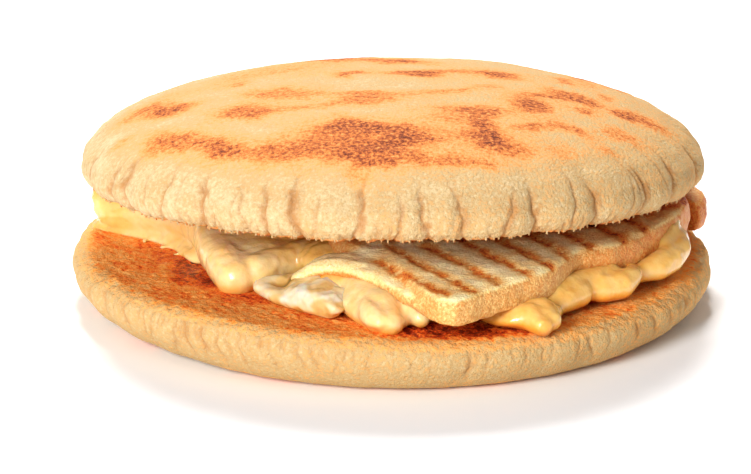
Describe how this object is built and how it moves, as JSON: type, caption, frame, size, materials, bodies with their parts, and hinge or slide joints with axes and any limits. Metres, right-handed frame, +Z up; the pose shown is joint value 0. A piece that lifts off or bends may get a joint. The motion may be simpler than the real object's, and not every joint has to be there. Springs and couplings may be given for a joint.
{
  "type": "grilled cheese sandwich",
  "caption": "Toasted round flatbread split in two halves, with melted cheese and a griddle-striped slice between them, some of it running out at the front.",
  "frame": {"origin": "on the flat underside of the lower bread, at the middle of its round", "axes": "+Z up through the sandwich; -Y towards the front, where the filling runs out and the upper half is held highest; +X to the right seen from the front"},
  "size_m": [0.1498, 0.15, 0.0553],
  "materials": {
    "lower_bread": "baked flatbread crust, with a toasted cut face",
    "upper_bread": "baked flatbread crust, scorched in patches on top",
    "grilled_slice": "griddled, with dark stripes",
    "melted_cheese": "melted and glossy",
    "white_cheese": "soft, moist and glossy"
  },
  "bodies": {
    "root": {"bread_bottom": "lower_bread", "bread_top": "upper_bread", "grilled_slice": "grilled_slice", "grilled_slice_back": "grilled_slice", "cheese_under_slice": "melted_cheese", "cheese_left": "melted_cheese", "white_cheese": "white_cheese"}
  },
  "joints": []
}
